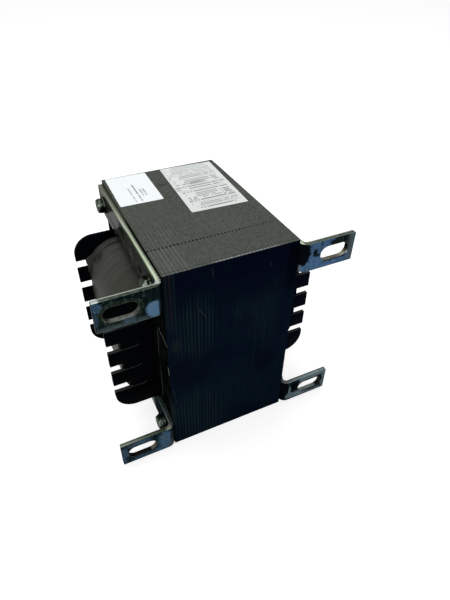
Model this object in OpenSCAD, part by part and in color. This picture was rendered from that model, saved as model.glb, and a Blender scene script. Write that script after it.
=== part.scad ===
// Control transformer on an EI lamination core, standing on its lower outer leg.
// +X runs to the right along the lamination stack, +Y away from the mounting feet, +Z up.
// The origin is the centre of the core's bottom face.

/* [Core] */
// Thickness of the lamination stack, left to right
stack_w = 86; // [60:1:110]
// Height of the centre leg, which carries the coil
centre_leg_h = 50; // [40:1:65]
// Height of each outer leg
outer_leg_h = 25; // [20:1:35]
// Depth of each yoke, at the near and far end of the legs
yoke_d = 25; // [20:1:35]
// Height of each window between the legs
window_h = 25; // [20:1:32]
// Depth of the windows, from yoke to yoke
window_d = 75; // [60:1:95]

/* [Bobbin] */
// Gap between the centre leg and the bobbin
leg_gap = 0.5; // [0.2:0.1:1]
// Wall of the bobbin's tube
tube_wall = 2; // [1:0.5:3]
// Thickness of a bobbin flange
flange_t = 2.5; // [2:0.25:4]
// Gap between a flange and the yoke beside it
yoke_gap = 0.3; // [0.1:0.1:1]
// Gap between a flange's edge and the outer leg
flange_edge_gap = 0.8; // [0.4:0.1:2]
// How far the flanges' combs reach past the sides of the core
comb_reach = 31.5; // [28:0.5:38]
// Radius of a comb's outer corners
horn_r = 14; // [5:1:17]

/* [Comb slots] */
// Height of a tooth between two lead slots
tooth_h = 11.8; // [9:0.2:15]
// Height of a lead slot
slot_h = 6.7; // [4:0.1:8.1]
// Depth of the middle lead slots
slot_d = 9.2; // [6:0.1:11.2]
// Depth of the top and bottom lead slots at their edge towards the middle
end_slot_d = 11.2; // [8:0.1:13.5]
// How much deeper the top and bottom lead slots are at their other edge
end_slot_slant = 1.9; // [0:0.1:4]
// Length of the shallow lead groove that runs on from each slot, to its round end
groove_len = 12; // [8:1:18]
// Depth of the lead grooves in the flange's face
groove_t = 0.8; // [0.4:0.1:1.2]

/* [Coil] */
// How far the coil bulges past the sides of the core
coil_bulge = 23.8; // [20:0.2:29]
// Gap between the coil and the outer legs
coil_leg_gap = 6.5; // [3:0.5:8]
// Corner radius of the finished coil
coil_r = 22; // [14:1:24]
// Thickness of the outer wrap
wrap_t = 1; // [0.5:0.1:1.5]
// Build of the inner winding beside the core
inner_side_build = 9; // [5:0.5:11]
// Build of the inner winding in the windows
inner_window_build = 6; // [4:0.5:8]
// Corner radius of the inner winding
inner_r = 9; // [4:1:10]
// Thickness of the insulation between the windings
barrier_t = 1; // [0.5:0.1:1.5]

/* [Mounting strips] */
// Thickness of the strip
strip_t = 3; // [2:0.5:4]
// Gap from the strip to the core's top or bottom face
strip_face_gap = 3; // [1:0.5:5]
// Gap from the strip to the level of the window
strip_window_gap = 2; // [1:0.5:4]
// How far the feet reach past the sides of the core
foot_reach = 38.5; // [36:0.5:50]
// Radius inside the bend between strip and foot
bend_r = 2.5; // [2:0.5:5]
// Radius of the foot's outer corners
foot_corner_r = 0.5; // [0.5:0.5:4]
// Width of the mounting slot
foot_slot_w = 10; // [6:0.5:12]
// Length of the mounting slot from end to end
foot_slot_len = 20; // [14:1:24]
// Distance from the slot to the foot's tip
foot_slot_edge = 4.5; // [3:0.5:8]

/* [Clamp bolts] */
// Diameter of the through bolts
bolt_d = 6; // [5:1:8]
// Clearance of a bolt in the core and the strips, on the diameter
bolt_play = 1; // [0.5:0.1:1.5]
// Clearance of a bolt in a washer or a nut, on the diameter
fit_play = 0.2; // [0.1:0.1:0.4]
// Distance of the bolts from the near and far faces of the core
bolt_inset = 12.5; // [10.5:0.5:15]
// Width across flats of heads and nuts
hex_flats = 10; // [8:1:13]
// Height of a bolt head
head_h = 4; // [3:0.5:6]
// Height of a nut
nut_h = 3.2; // [3:0.1:7]
// Length of thread that stands out of a nut
thread_out = 1; // [1:0.5:5]
// Outer diameter of a washer
washer_d = 12; // [10:1:16]
// Thickness of a washer
washer_t = 1.2; // [1:0.2:2.4]

/* [Terminals] */
// Width of a tab
tab_w = 6.3; // [4.8:0.5:6.3]
// Thickness of a tab
tab_t = 0.8; // [0.5:0.1:1]
// Length of a tab past its holder
tab_len = 9; // [6:1:14]
// Clearance of a holder in its lead slot
holder_play = 0.1; // [0.05:0.05:0.3]
// Depth of a holder's body behind the flange
holder_d = 6; // [4:1:10]
// Width of a holder
holder_w = 8; // [7:0.5:9]
// How far a holder's body stands over the edges of its slot
holder_lip = 1.5; // [1:0.5:2.5]

/* [Labels] */
// Thickness of the labels
label_t = 0.2; // [0.1:0.1:0.5]
// Width of the small label
small_label_w = 29.4; // [15:0.2:34]
// Depth of the small label, from near to far
small_label_d = 43.4; // [20:0.2:60]
// Gap from the small label to the left edge of the top face
small_side_gap = 1.8; // [1:0.1:5]
// Gap from the small label to the far edge of the top face
small_far_gap = 1.1; // [0.6:0.1:5]
// Gap between the two labels, which the large label's width leaves free
label_gap = 10.7; // [2:0.1:15]
// Depth of the large label, from near to far
large_label_d = 68.5; // [30:0.5:80]
// Gap from the large label to the right edge of the top face
large_side_gap = 4.5; // [2:0.1:8]
// Gap from the large label to the far edge of the top face
large_far_gap = 1.9; // [1.5:0.1:8]
// Turn of the small label
small_turn = -1.1; // [-1.5:0.1:1.5]
// Turn of the large label
large_turn = -2.2; // [-2.5:0.1:2.5]
// Corner radius of the labels
label_r = 1; // [0:0.5:3]

/* [Hidden] */
$fn = 64;
// Extra length of a cut past the faces that it opens
cut = 1;

core_h = centre_leg_h + 2 * (window_h + outer_leg_h);
core_d = window_d + 2 * yoke_d;
mid_z = core_h / 2;
side_x = stack_w / 2;

flange_w = stack_w + 2 * comb_reach;
flange_h = centre_leg_h + 2 * (window_h - flange_edge_gap);
flange_out_y = window_d / 2 - yoke_gap;
coil_d = 2 * (flange_out_y - flange_t);
slot_pitch = tooth_h + slot_h;

hole_w = stack_w + 2 * leg_gap;
hole_h = centre_leg_h + 2 * leg_gap;
tube_w = hole_w + 2 * tube_wall;
tube_h = hole_h + 2 * tube_wall;
inner_w = tube_w + 2 * inner_side_build;
inner_h = tube_h + 2 * inner_window_build;
barrier_w = inner_w + 2 * barrier_t;
barrier_h = inner_h + 2 * barrier_t;
coil_w = stack_w + 2 * coil_bulge;
coil_h = centre_leg_h + 2 * (window_h - coil_leg_gap);
outer_w = coil_w - 2 * wrap_t;
outer_h = coil_h - 2 * wrap_t;
barrier_r = inner_r + barrier_t;
outer_r = coil_r - wrap_t;

strip_h = outer_leg_h - strip_face_gap - strip_window_gap;
strip_z = core_h / 2 - strip_face_gap - strip_h / 2;
strip_out_x = side_x + strip_t;
bend_x = strip_out_x + bend_r;
bend_y = -core_d / 2 + bend_r;
foot_tip_x = side_x + foot_reach;
foot_slot_x = foot_tip_x - foot_slot_edge - foot_slot_len / 2;

bolt_y = core_d / 2 - bolt_inset;
head_x = strip_out_x + washer_t;
bolt_hole_d = bolt_d + bolt_play;

small_label_x = -side_x + small_side_gap + small_label_w / 2;
small_label_y = core_d / 2 - small_far_gap - small_label_d / 2;
large_label_w = stack_w - small_side_gap - small_label_w - label_gap - large_side_gap;
large_label_x = side_x - large_side_gap - large_label_w / 2;
large_label_y = core_d / 2 - large_far_gap - large_label_d / 2;

// Corners of the core that a clamp bolt passes through: name, side along Y, side along Z
CORNERS = [["near_top", -1, 1], ["far_top", 1, 1], ["near_bottom", -1, -1], ["far_bottom", 1, -1]];
// Mounting strips: name, side along X, side along Z
STRIPS = [["left_top", -1, 1], ["right_top", 1, 1], ["left_bottom", -1, -1], ["right_bottom", 1, -1]];

// --- shared shapes ---

// A box with its centre on the core's middle height
module block(w, d, h, y = 0, z = 0) {
    translate([0, y, mid_z + z]) cube([w, d, h], center = true);
}

// A flat outline, drawn in X and Z about the core's middle height, made d deep with its middle at y
module along_y(d, y = 0) {
    translate([0, y, mid_z]) rotate([90, 0, 0]) linear_extrude(d, center = true) children();
}

// A cylinder from x1 to x2 along X
module rod_x(d, x1, x2) {
    translate([x1, 0, 0]) rotate([0, 90, 0]) cylinder(d = d, h = x2 - x1);
}

// Puts its children at one clamp bolt's axis
module at_corner(c) {
    translate([0, c[1] * bolt_y, mid_z + c[2] * strip_z]) children();
}

module rounded_rect(w, h, r) {
    square([w - 2 * r, h], center = true);
    square([w, h - 2 * r], center = true);
    for (x = [-1, 1], z = [-1, 1])
        translate([x * (w / 2 - r), z * (h / 2 - r)]) circle(r);
}

// --- core ---

module yoke(side) {
    color([0.16, 0.17, 0.19]) difference() {
        block(stack_w, yoke_d, core_h, y = side * (window_d + yoke_d) / 2);
        for (c = CORNERS)
            at_corner(c) rod_x(bolt_hole_d, -side_x - cut, side_x + cut);
    }
}

module outer_leg(side) {
    color([0.29, 0.29, 0.28])
        block(stack_w, window_d, outer_leg_h, z = side * (core_h - outer_leg_h) / 2);
}

module centre_leg() {
    color([0.16, 0.17, 0.19]) block(stack_w, window_d, centre_leg_h);
}

// --- bobbin ---

module bobbin_tube() {
    color([0.05, 0.05, 0.05]) along_y(coil_d) difference() {
        square([tube_w, tube_h], center = true);
        square([hole_w, hole_h], center = true);
    }
}

// Depth of lead slot k, counted from the bottom, at its edge towards the middle and at the other
function slot_depths(k) = k == 0 || k == 3 ? [end_slot_d, end_slot_d + end_slot_slant] : [slot_d, slot_d];
// Height of lead slot k above the middle
function slot_at(k) = (k - 1.5) * slot_pitch;

// One lead slot on the right-hand comb
module lead_slot(k) {
    toward = k < 2 ? 1 : -1;
    depths = slot_depths(k);
    x = flange_w / 2;
    translate([0, slot_at(k)]) polygon([
        [x + cut, toward * slot_h / 2],
        [x - depths[0], toward * slot_h / 2],
        [x - depths[1], -toward * slot_h / 2],
        [x + cut, -toward * slot_h / 2]
    ]);
}

// The shallow groove that guides a lead from the coil to its slot
module lead_groove(k) {
    x = flange_w / 2 - slot_depths(k)[0] - groove_len + slot_h / 2;
    translate([0, slot_at(k)]) {
        translate([x, -slot_h / 2]) square([flange_w / 2 + cut - x, slot_h]);
        translate([x, 0]) circle(d = slot_h);
    }
}

module flange(side) {
    mid_y = side * (flange_out_y - flange_t / 2);
    color([0.03, 0.03, 0.035]) difference() {
        along_y(flange_t, mid_y) difference() {
            rounded_rect(flange_w, flange_h, horn_r);
            square([hole_w, hole_h], center = true);
            for (left = [0, 1], k = [0 : 3]) mirror([left, 0]) lead_slot(k);
        }
        along_y(2 * groove_t, side * flange_out_y)
            for (left = [0, 1], k = [0 : 3]) mirror([left, 0]) lead_groove(k);
    }
}

// --- coil ---

// One layer of the coil: an outer outline with the next layer's outline taken out
module layer(w, h, r) {
    along_y(coil_d) difference() {
        rounded_rect(w, h, r);
        children();
    }
}

module inner_winding() {
    color([0.55, 0.27, 0.12]) layer(inner_w, inner_h, inner_r) square([tube_w, tube_h], center = true);
}

module winding_barrier() {
    color([0.75, 0.68, 0.5])
        layer(barrier_w, barrier_h, barrier_r) rounded_rect(inner_w, inner_h, inner_r);
}

module outer_winding() {
    color([0.6, 0.3, 0.14])
        layer(outer_w, outer_h, outer_r) rounded_rect(barrier_w, barrier_h, barrier_r);
}

module coil_wrap() {
    color([0.33, 0.33, 0.32]) layer(coil_w, coil_h, coil_r) rounded_rect(outer_w, outer_h, outer_r);
}

// --- mounting strips ---

// The strip seen from above, on the right-hand side: straight along the core, then bent outwards
module strip_plan() {
    translate([side_x, bend_y]) square([strip_t, core_d / 2 - bend_y]);
    intersection() {
        translate([bend_x, bend_y]) difference() {
            circle(r = bend_r + strip_t);
            circle(r = bend_r);
        }
        translate([side_x, bend_y - bend_r - strip_t]) square(bend_r + strip_t);
    }
}

// The flat foot past the bend, seen from the front
module foot_face() {
    len = foot_tip_x - bend_x;
    translate([bend_x, -strip_h / 2]) {
        square([len - foot_corner_r, strip_h]);
        translate([0, foot_corner_r]) square([len, strip_h - 2 * foot_corner_r]);
        for (z = [foot_corner_r, strip_h - foot_corner_r])
            translate([len - foot_corner_r, z]) circle(foot_corner_r);
    }
}

module slot_face() {
    half = (foot_slot_len - foot_slot_w) / 2;
    square([2 * half, foot_slot_w], center = true);
    for (x = [-half, half]) translate([x, 0]) circle(d = foot_slot_w);
}

module strip(side, level) {
    foot_y = -core_d / 2 - strip_t / 2;
    color([0.62, 0.68, 0.68]) translate([0, 0, level * strip_z]) mirror([side < 0 ? 1 : 0, 0, 0])
        difference() {
            union() {
                translate([0, 0, mid_z - strip_h / 2]) linear_extrude(strip_h) strip_plan();
                along_y(strip_t, foot_y) foot_face();
            }
            along_y(strip_t + 2 * cut, foot_y) translate([foot_slot_x, 0]) slot_face();
            for (y = [-bolt_y, bolt_y])
                translate([0, y, mid_z]) rod_x(bolt_hole_d, side_x - cut, strip_out_x + cut);
        }
}

// --- clamp bolts, with their heads on the left ---

// A hexagon with flats at the top and bottom, from x1 to x2 along X
module hex_x(x1, x2) {
    translate([x1, 0, 0]) rotate([0, 90, 0]) rotate(30)
        cylinder(d = hex_flats / cos(30), h = x2 - x1, $fn = 6);
}

module bolt(c) {
    color([0.5, 0.55, 0.5]) at_corner(c) {
        hex_x(-head_x - head_h, -head_x);
        rod_x(bolt_d, -head_x - head_h / 2, head_x + nut_h + thread_out);
    }
}

module washer(c, x1, x2) {
    color([0.6, 0.64, 0.6]) at_corner(c) difference() {
        rod_x(washer_d, x1, x2);
        rod_x(bolt_d + fit_play, x1 - cut, x2 + cut);
    }
}

module nut(c) {
    color([0.5, 0.55, 0.5]) at_corner(c) difference() {
        hex_x(head_x, head_x + nut_h);
        rod_x(bolt_d + fit_play, head_x - cut, head_x + nut_h + cut);
    }
}

// --- terminals in the far flange's right-hand comb, facing away from the feet ---

// Middle of a holder across X, in the outer part of the shallower slots
module at_terminals() {
    for (k = [0 : 3])
        translate([flange_w / 2 - holder_w / 2, 0, mid_z + slot_at(k)]) children();
}

// A holder fills its lead slot and grips the comb's far face with a wider body
module terminal_holders() {
    neck_h = slot_h - 2 * holder_play;
    body_h = slot_h + 2 * holder_lip;
    color([0.08, 0.08, 0.08]) at_terminals() difference() {
        union() {
            translate([-holder_w / 2, flange_out_y - flange_t, -neck_h / 2])
                cube([holder_w, flange_t + cut, neck_h]);
            translate([-holder_w / 2, flange_out_y, -body_h / 2]) cube([holder_w, holder_d, body_h]);
        }
        translate([0, flange_out_y + holder_d, 0]) cube([tab_w, 2 * holder_d, tab_t], center = true);
    }
}

module terminal_tabs() {
    color([0.8, 0.68, 0.35]) at_terminals()
        translate([-tab_w / 2, flange_out_y, -tab_t / 2]) cube([tab_w, holder_d + tab_len, tab_t]);
}

// --- labels on the core's top face ---

module label(w, d, x, y, turn) {
    translate([x, y, core_h]) rotate([0, 0, turn]) linear_extrude(label_t) rounded_rect(w, d, label_r);
}

module small_label() {
    color([0.93, 0.94, 0.95])
        label(small_label_w, small_label_d, small_label_x, small_label_y, small_turn);
}

module large_label() {
    color([0.8, 0.82, 0.83])
        label(large_label_w, large_label_d, large_label_x, large_label_y, large_turn);
}

yoke(-1);  // near_yoke
yoke(1);  // far_yoke
outer_leg(1);  // top_leg
centre_leg();
outer_leg(-1);  // bottom_leg
bobbin_tube();
flange(-1);  // near_flange
flange(1);  // far_flange
inner_winding();
winding_barrier();
outer_winding();
coil_wrap();
for (s = STRIPS)
    strip(s[1], s[2]);
for (c = CORNERS) {
    bolt(c);
    washer(c, -head_x, -strip_out_x);
    washer(c, strip_out_x, head_x);
    nut(c);
}
terminal_holders();
terminal_tabs();
small_label();
large_label();
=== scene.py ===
# Control transformer: sheet-stack core, comb-edged bobbin, wrapped coil, zinc strips and clamp bolts.
# Pieces take their sizes from the CAD nodes' boxes; lengths are in millimetres until they reach a mesh.
import math
import random

import bmesh
import bpy
from mathutils import Matrix, Vector


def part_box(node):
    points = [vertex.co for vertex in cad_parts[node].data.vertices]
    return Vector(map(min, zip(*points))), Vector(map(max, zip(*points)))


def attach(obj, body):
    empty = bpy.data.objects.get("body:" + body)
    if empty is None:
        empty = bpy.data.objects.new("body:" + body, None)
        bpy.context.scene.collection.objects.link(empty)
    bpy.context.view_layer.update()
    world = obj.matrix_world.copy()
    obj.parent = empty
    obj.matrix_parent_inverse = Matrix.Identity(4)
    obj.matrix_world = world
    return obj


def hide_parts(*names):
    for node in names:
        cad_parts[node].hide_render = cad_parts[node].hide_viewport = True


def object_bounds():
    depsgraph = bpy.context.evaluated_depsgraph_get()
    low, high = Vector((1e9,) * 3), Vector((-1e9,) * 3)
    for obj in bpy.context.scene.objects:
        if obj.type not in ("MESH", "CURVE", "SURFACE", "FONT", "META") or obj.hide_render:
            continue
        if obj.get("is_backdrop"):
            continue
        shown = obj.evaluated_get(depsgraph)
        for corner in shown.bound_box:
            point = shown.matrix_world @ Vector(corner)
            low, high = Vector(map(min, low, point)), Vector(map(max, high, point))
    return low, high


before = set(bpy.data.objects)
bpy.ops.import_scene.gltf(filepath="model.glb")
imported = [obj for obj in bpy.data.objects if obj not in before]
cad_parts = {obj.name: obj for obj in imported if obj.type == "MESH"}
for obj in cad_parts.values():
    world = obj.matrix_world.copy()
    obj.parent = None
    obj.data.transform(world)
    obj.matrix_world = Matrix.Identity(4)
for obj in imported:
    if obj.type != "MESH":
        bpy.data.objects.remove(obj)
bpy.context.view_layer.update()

MM = 0.001
BODY = "root"
X, Y, Z = Vector((1, 0, 0)), Vector((0, 1, 0)), Vector((0, 0, 1))
ALIGNED = 0.9  # cosine from which an edge or a normal counts as lying along an axis
PAST = 1  # how far a cutting tool reaches past the face it cuts
NEAR = 0.1  # how close to an end a point or an edge counts as lying at that end
ROUND = 48  # sides of the rods whose roundness shows
random.seed(41)


# --- the bench: selecting, cutting and finishing ---

def span(node):
    """Lowest and highest corner of a CAD node, in millimetres"""
    low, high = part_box(node)
    return Vector(low) / MM, Vector(high) / MM


def nothing_selected():
    if bpy.context.mode != "OBJECT":
        bpy.ops.object.mode_set(mode="OBJECT")
    bpy.ops.object.select_all(action="DESELECT")


def only(piece):
    """Selects this piece alone, closed for editing, and makes it the active one"""
    nothing_selected()
    piece.select_set(True)
    bpy.context.view_layer.objects.active = piece


def edit(piece):
    """Opens the piece for editing with nothing selected in it"""
    only(piece)
    bpy.ops.object.mode_set(mode="EDIT")
    bpy.ops.mesh.select_all(action="DESELECT")


def settle(piece):
    """Puts the piece's place, turn and size into its mesh"""
    only(piece)
    bpy.ops.object.transform_apply(location=True, rotation=True, scale=True)


def started(name, make, place, **settings):
    """Makes a primitive at a place in metres and names it"""
    nothing_selected()
    make(location=place, **settings)
    return named(bpy.context.object, name)


def named(piece, name):
    piece.name = name
    piece.data.name = name
    return piece


def discard(piece):
    bpy.data.objects.remove(piece, do_unlink=True)


def block(name, low, high, *corners):
    """A block between two corners; its edges are rounded if told how, as for round_corners"""
    low, high = Vector(low) * MM, Vector(high) * MM
    piece = started(name, bpy.ops.mesh.primitive_cube_add, (low + high) / 2, size=1)
    piece.scale = high - low
    settle(piece)
    if corners:
        round_corners(piece, *corners)
    return piece


def rod(name, radius, x_from, x_to, y, z, sides=32):
    """A round or six-sided rod along X"""
    piece = started(name, bpy.ops.mesh.primitive_cylinder_add,
                    Vector(((x_from + x_to) / 2, y, z)) * MM, rotation=(0, math.pi / 2, 0),
                    vertices=sides, radius=radius * MM, depth=(x_to - x_from) * MM)
    settle(piece)
    return piece


def pick(piece, kind, test):
    """Selects the points, edges or faces of the open piece that pass the test"""
    bpy.ops.mesh.select_mode(type=kind)
    mesh = bmesh.from_edit_mesh(piece.data)
    for part in {"VERT": mesh.verts, "EDGE": mesh.edges, "FACE": mesh.faces}[kind]:
        part.select_set(bool(test(part)))
    if kind == "VERT":
        mesh.select_flush_mode()
    bmesh.update_edit_mesh(piece.data)


def pick_points(piece, test):
    pick(piece, "VERT", lambda point: test(point.co / MM))


def pick_edges(piece, axis, test):
    """Selects the edges along an axis whose middle (in millimetres) passes the test"""
    def passes(edge):
        a, b = (point.co for point in edge.verts)
        return abs((b - a).normalized().dot(axis)) > ALIGNED and test((a + b) / 2 / MM)

    pick(piece, "EDGE", passes)


def pick_faces(piece, test):
    """Selects the faces whose middle (in millimetres) and normal pass the test"""
    pick(piece, "FACE", lambda face: test(face.calc_center_median() / MM, face.normal))


def push(by):
    """Extrudes the picked faces by a step"""
    bpy.ops.mesh.extrude_region_move(TRANSFORM_OT_translate={"value": Vector(by) * MM})


def move_picked(by):
    bpy.ops.transform.translate(value=Vector(by) * MM)


def slice_at(axis, level, clear_below=False):
    """Cuts new edges across the whole open piece, square to an axis"""
    bpy.ops.mesh.select_all(action="SELECT")
    bpy.ops.mesh.bisect(plane_co=axis * level * MM, plane_no=axis, clear_inner=clear_below)


def reshape(piece, way):
    """Moves each point of the open piece by the step that way() gives for its place"""
    mesh = bmesh.from_edit_mesh(piece.data)
    for point in mesh.verts:
        point.co += way(point.co / MM) * MM
    bmesh.update_edit_mesh(piece.data)


def normals_out():
    bpy.ops.mesh.select_all(action="SELECT")
    bpy.ops.mesh.normals_make_consistent(inside=False)


def round_corners(piece, axis, radius, segments, test=lambda middle: True):
    """Rounds the edges along an axis whose middle passes the test"""
    edit(piece)
    pick_edges(piece, axis, test)
    bpy.ops.mesh.bevel(offset=radius * MM, segments=segments)
    only(piece)


def modify(piece, kind, **settings):
    """Adds a modifier with these settings and applies it"""
    only(piece)
    modifier = piece.modifiers.new(kind, kind)
    for name, value in settings.items():
        setattr(modifier, name, value)
    bpy.ops.object.modifier_apply(modifier=modifier.name)


def ease_edges(piece, width, segments=2, angle=30):
    """Rounds every edge sharper than the angle"""
    modify(piece, "BEVEL", width=width * MM, segments=segments, limit_method="ANGLE",
           angle_limit=math.radians(angle), use_clamp_overlap=True, harden_normals=False)


def combine(piece, operation, *tools):
    """Joins the tools to the piece, or cuts it with them, and the tools are gone"""
    for tool in tools:
        modify(piece, "BOOLEAN", operation=operation, solver="EXACT", object=tool)
        discard(tool)


def cut(piece, *tools):
    combine(piece, "DIFFERENCE", *tools)


def join(name, pieces):
    """Makes one piece of several"""
    nothing_selected()
    for piece in pieces:
        piece.select_set(True)
    bpy.context.view_layer.objects.active = pieces[0]
    bpy.ops.object.join()
    return named(bpy.context.object, name)


def copy_of(piece, name):
    """A copy with its own mesh"""
    only(piece)
    bpy.ops.object.duplicate()
    return named(bpy.context.object, name)


def mirrored(piece, name, scale, middle=(0, 0, 0)):
    """A mirror image about a point, with its faces turned out again"""
    image = copy_of(piece, name)
    image.matrix_world = (Matrix.Translation(Vector(middle) * MM)
                          @ Matrix.Diagonal((*scale, 1))
                          @ Matrix.Translation(-Vector(middle) * MM))
    settle(image)
    edit(image)
    normals_out()
    only(image)
    return image


def smooth(piece, angle=35):
    only(piece)
    bpy.ops.object.shade_smooth_by_angle(angle=math.radians(angle))


def fit(piece, finish, slot, *nodes):
    """Finishes a piece, lets it ride on the body and stand for its CAD nodes"""
    piece.data.materials.clear()
    piece.data.materials.append(finish)
    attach(piece, BODY)
    if nodes:
        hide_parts(*nodes)


# --- shader arithmetic ---

def maths(operation, swapped=False):
    """A way to work out a new Value from one Value and the terms that come after it"""
    def worked_out(value, *others):
        terms = [value, *others]
        if swapped:
            terms.reverse()
        node = value.finish.node("ShaderNodeMath", {"operation": operation}, dict(enumerate(terms)))
        return Value(value.finish, node.outputs[0])

    return worked_out


class Value:
    """A number on a socket, so that shader maths reads as arithmetic"""

    def __init__(self, finish, socket):
        self.finish = finish
        self.socket = socket

    __add__ = __radd__ = maths("ADD")
    __sub__ = maths("SUBTRACT")
    __rsub__ = maths("SUBTRACT", swapped=True)
    __mul__ = __rmul__ = maths("MULTIPLY")
    __truediv__ = maths("DIVIDE")
    __pow__ = maths("POWER")
    __abs__ = maths("ABSOLUTE")
    __lt__ = maths("LESS_THAN")
    __gt__ = maths("GREATER_THAN")
    floor = maths("FLOOR")
    fraction = maths("FRACT")
    most = maths("MAXIMUM")
    least = maths("MINIMUM")

    def fade(self, start, end, low=0.0, high=1.0):
        """Goes smoothly from low at start to high at end, and stays there"""
        node = self.finish.node(
            "ShaderNodeMapRange", {"interpolation_type": "SMOOTHSTEP"},
            {"Value": self, "From Min": start, "From Max": end, "To Min": low, "To Max": high})
        return Value(self.finish, node.outputs["Result"])

    def within(self, middle, half, soft):
        """1 inside a band, 0 outside it"""
        return abs(self - middle).fade(half + soft, half)


class Nodes:
    """The nodes of a material or of the surroundings"""

    def __init__(self, owner):
        owner.use_nodes = True
        self.tree = owner.node_tree
        self.tree.nodes.clear()

    def node(self, kind, settings, sockets):
        """Adds a node: its settings first, then the values or links of its sockets"""
        node = self.tree.nodes.new(kind)
        for name, setting in settings.items():
            setattr(node, name, setting)
        for name, value in sockets.items():
            if isinstance(value, Value):
                value = value.socket
            if isinstance(value, bpy.types.NodeSocket):
                self.tree.links.new(value, node.inputs[name])
            elif isinstance(value, tuple) and node.inputs[name].type == "RGBA":
                node.inputs[name].default_value = (*value, 1)
            else:
                node.inputs[name].default_value = value
        return node

    def seen(self):
        """1 where the camera or a reflection looks, 0 for rays that only gather light"""
        rays = self.node("ShaderNodeLightPath", {}, {})
        return Value(self, rays.outputs["Is Camera Ray"]).most(Value(self, rays.outputs["Is Glossy Ray"]))


class Finish(Nodes):
    """A material under construction; the colours it mixes are in thousandths of full brightness"""

    def __init__(self, name):
        self.material = bpy.data.materials.new(name)
        super().__init__(self.material)
        place = self.node("ShaderNodeTexCoord", {}, {})
        scaled = self.node("ShaderNodeVectorMath", {"operation": "SCALE"},
                           {0: place.outputs["Object"], "Scale": 1 / MM})
        self.at = scaled.outputs[0]
        self.x, self.y, self.z = self.parts(self.at)
        self.nx, self.ny, self.nz = self.parts(place.outputs["Normal"])

    def parts(self, vector):
        node = self.node("ShaderNodeSeparateXYZ", {}, {0: vector})
        return [Value(self, output) for output in node.outputs]

    def noise(self, per_mm, detail=3, roughness=0.5, seed=0, at=None):
        """Cloudy variation from 0 to 1; per_mm is its fineness, one number or one for each axis"""
        if not isinstance(per_mm, tuple):
            per_mm = (per_mm,) * 3
        stretched = self.node("ShaderNodeVectorMath", {"operation": "MULTIPLY_ADD"},
                              {0: at or self.at, 1: per_mm, 2: (seed, seed * 1.7, seed * 2.3)})
        node = self.node("ShaderNodeTexNoise", {"noise_dimensions": "3D"},
                         {"Vector": stretched.outputs[0], "Scale": 1.0, "Detail": detail,
                          "Roughness": roughness})
        return Value(self, node.outputs["Fac"])

    def spot(self, middle, half, soft=0.3, wobble=0.0):
        """1 inside an ellipsoid and 0 outside it; a half size of 0 leaves that direction out"""
        scale = tuple(1 / size if size else 0.0 for size in half)
        offset = tuple(-at * share for at, share in zip(middle, scale))
        place = self.node("ShaderNodeVectorMath", {"operation": "MULTIPLY_ADD"},
                          {0: self.at, 1: scale, 2: offset})
        length = self.node("ShaderNodeVectorMath", {"operation": "LENGTH"}, {0: place.outputs[0]})
        return (Value(self, length.outputs["Value"]) + wobble).fade(1 + soft, 1 - soft)

    def front_spot(self, x, z, half_x, half_z, soft=0.3, wobble=0.0):
        """A spot on a face that looks along Y, as deep as the piece"""
        return self.spot((x, 0, z), (half_x, 0, half_z), soft, wobble)

    def near_line(self, across, up, start, end, width):
        """1 along a stroke between two points of a face, fading out at its sides"""
        run, rise = end[0] - start[0], end[1] - start[1]
        share = ((across - start[0]) * run + (up - start[1]) * rise) / (run * run + rise * rise)
        share = share.most(0.0).least(1.0)
        off_across = across - start[0] - share * run
        off_up = up - start[1] - share * rise
        return ((off_across * off_across + off_up * off_up) ** 0.5).fade(width, width * 0.3)

    def chance(self, number):
        """A random value from 0 to 1 for each whole number"""
        node = self.node("ShaderNodeTexWhiteNoise", {"noise_dimensions": "1D"}, {"W": number})
        return Value(self, node.outputs["Value"])

    def mix(self, share, low, high):
        """One colour over another, by a share from 0 to 1"""
        low, high = (tuple(level / 1000 for level in colour) if isinstance(colour, tuple) else colour
                     for colour in (low, high))
        node = self.node("ShaderNodeMix", {"data_type": "RGBA"}, {0: share, 6: low, 7: high})
        return node.outputs[2]

    def washed(self, colour, *washes):
        """Lays washes over a colour one after another; each is a share and a colour"""
        for share, wash in washes:
            colour = self.mix(share, colour, wash)
        return colour

    def surface(self, colour, relief, **levels):
        """The finished surface; relief is a height, its depth in millimetres and its strength,
        and levels are named as on the shader, with _ for a space"""
        height, depth, strength = relief
        bump = self.node("ShaderNodeBump", {}, {"Height": height, "Distance": depth * MM,
                                                "Strength": strength})
        sockets = {"Base Color": colour, "Normal": bump.outputs[0]}
        sockets.update({name.replace("_", " "): level for name, level in levels.items()})
        shader = self.node("ShaderNodeBsdfPrincipled", {}, sockets)
        self.node("ShaderNodeOutputMaterial", {}, {"Surface": shader.outputs[0]})
        return self.material


# --- sizes taken from the CAD nodes ---

near_yoke, far_yoke = span("near_yoke"), span("far_yoke")
top_leg, bottom_leg, centre_leg = span("top_leg"), span("bottom_leg"), span("centre_leg")
left_x, right_x = near_yoke[0].x, near_yoke[1].x
near_y, far_y = near_yoke[0].y, far_yoke[1].y
near_joint_y, far_joint_y = near_yoke[1].y, far_yoke[0].y
top_z = top_leg[1].z
mid_z = top_z / 2
strip_low, strip_high = span("right_top_strip")
bolt_low, bolt_high = span("near_top_bolt")
washer_low, washer_high = span("near_top_head_washer")
nut_low, nut_high = span("near_top_nut")
bolt_y = (bolt_low.y + bolt_high.y) / 2
bolt_z = (bolt_low.z + bolt_high.z) / 2
strip_mid_z = (strip_low.z + strip_high.z) / 2
strip_outer_x = span("near_top_nut_washer")[0].x
strip_thick = strip_outer_x - right_x
flange_low, flange_high = span("near_flange")
wrap_low, wrap_high = span("coil_wrap")
ABOUT_MID = (0, 0, mid_z)

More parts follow.
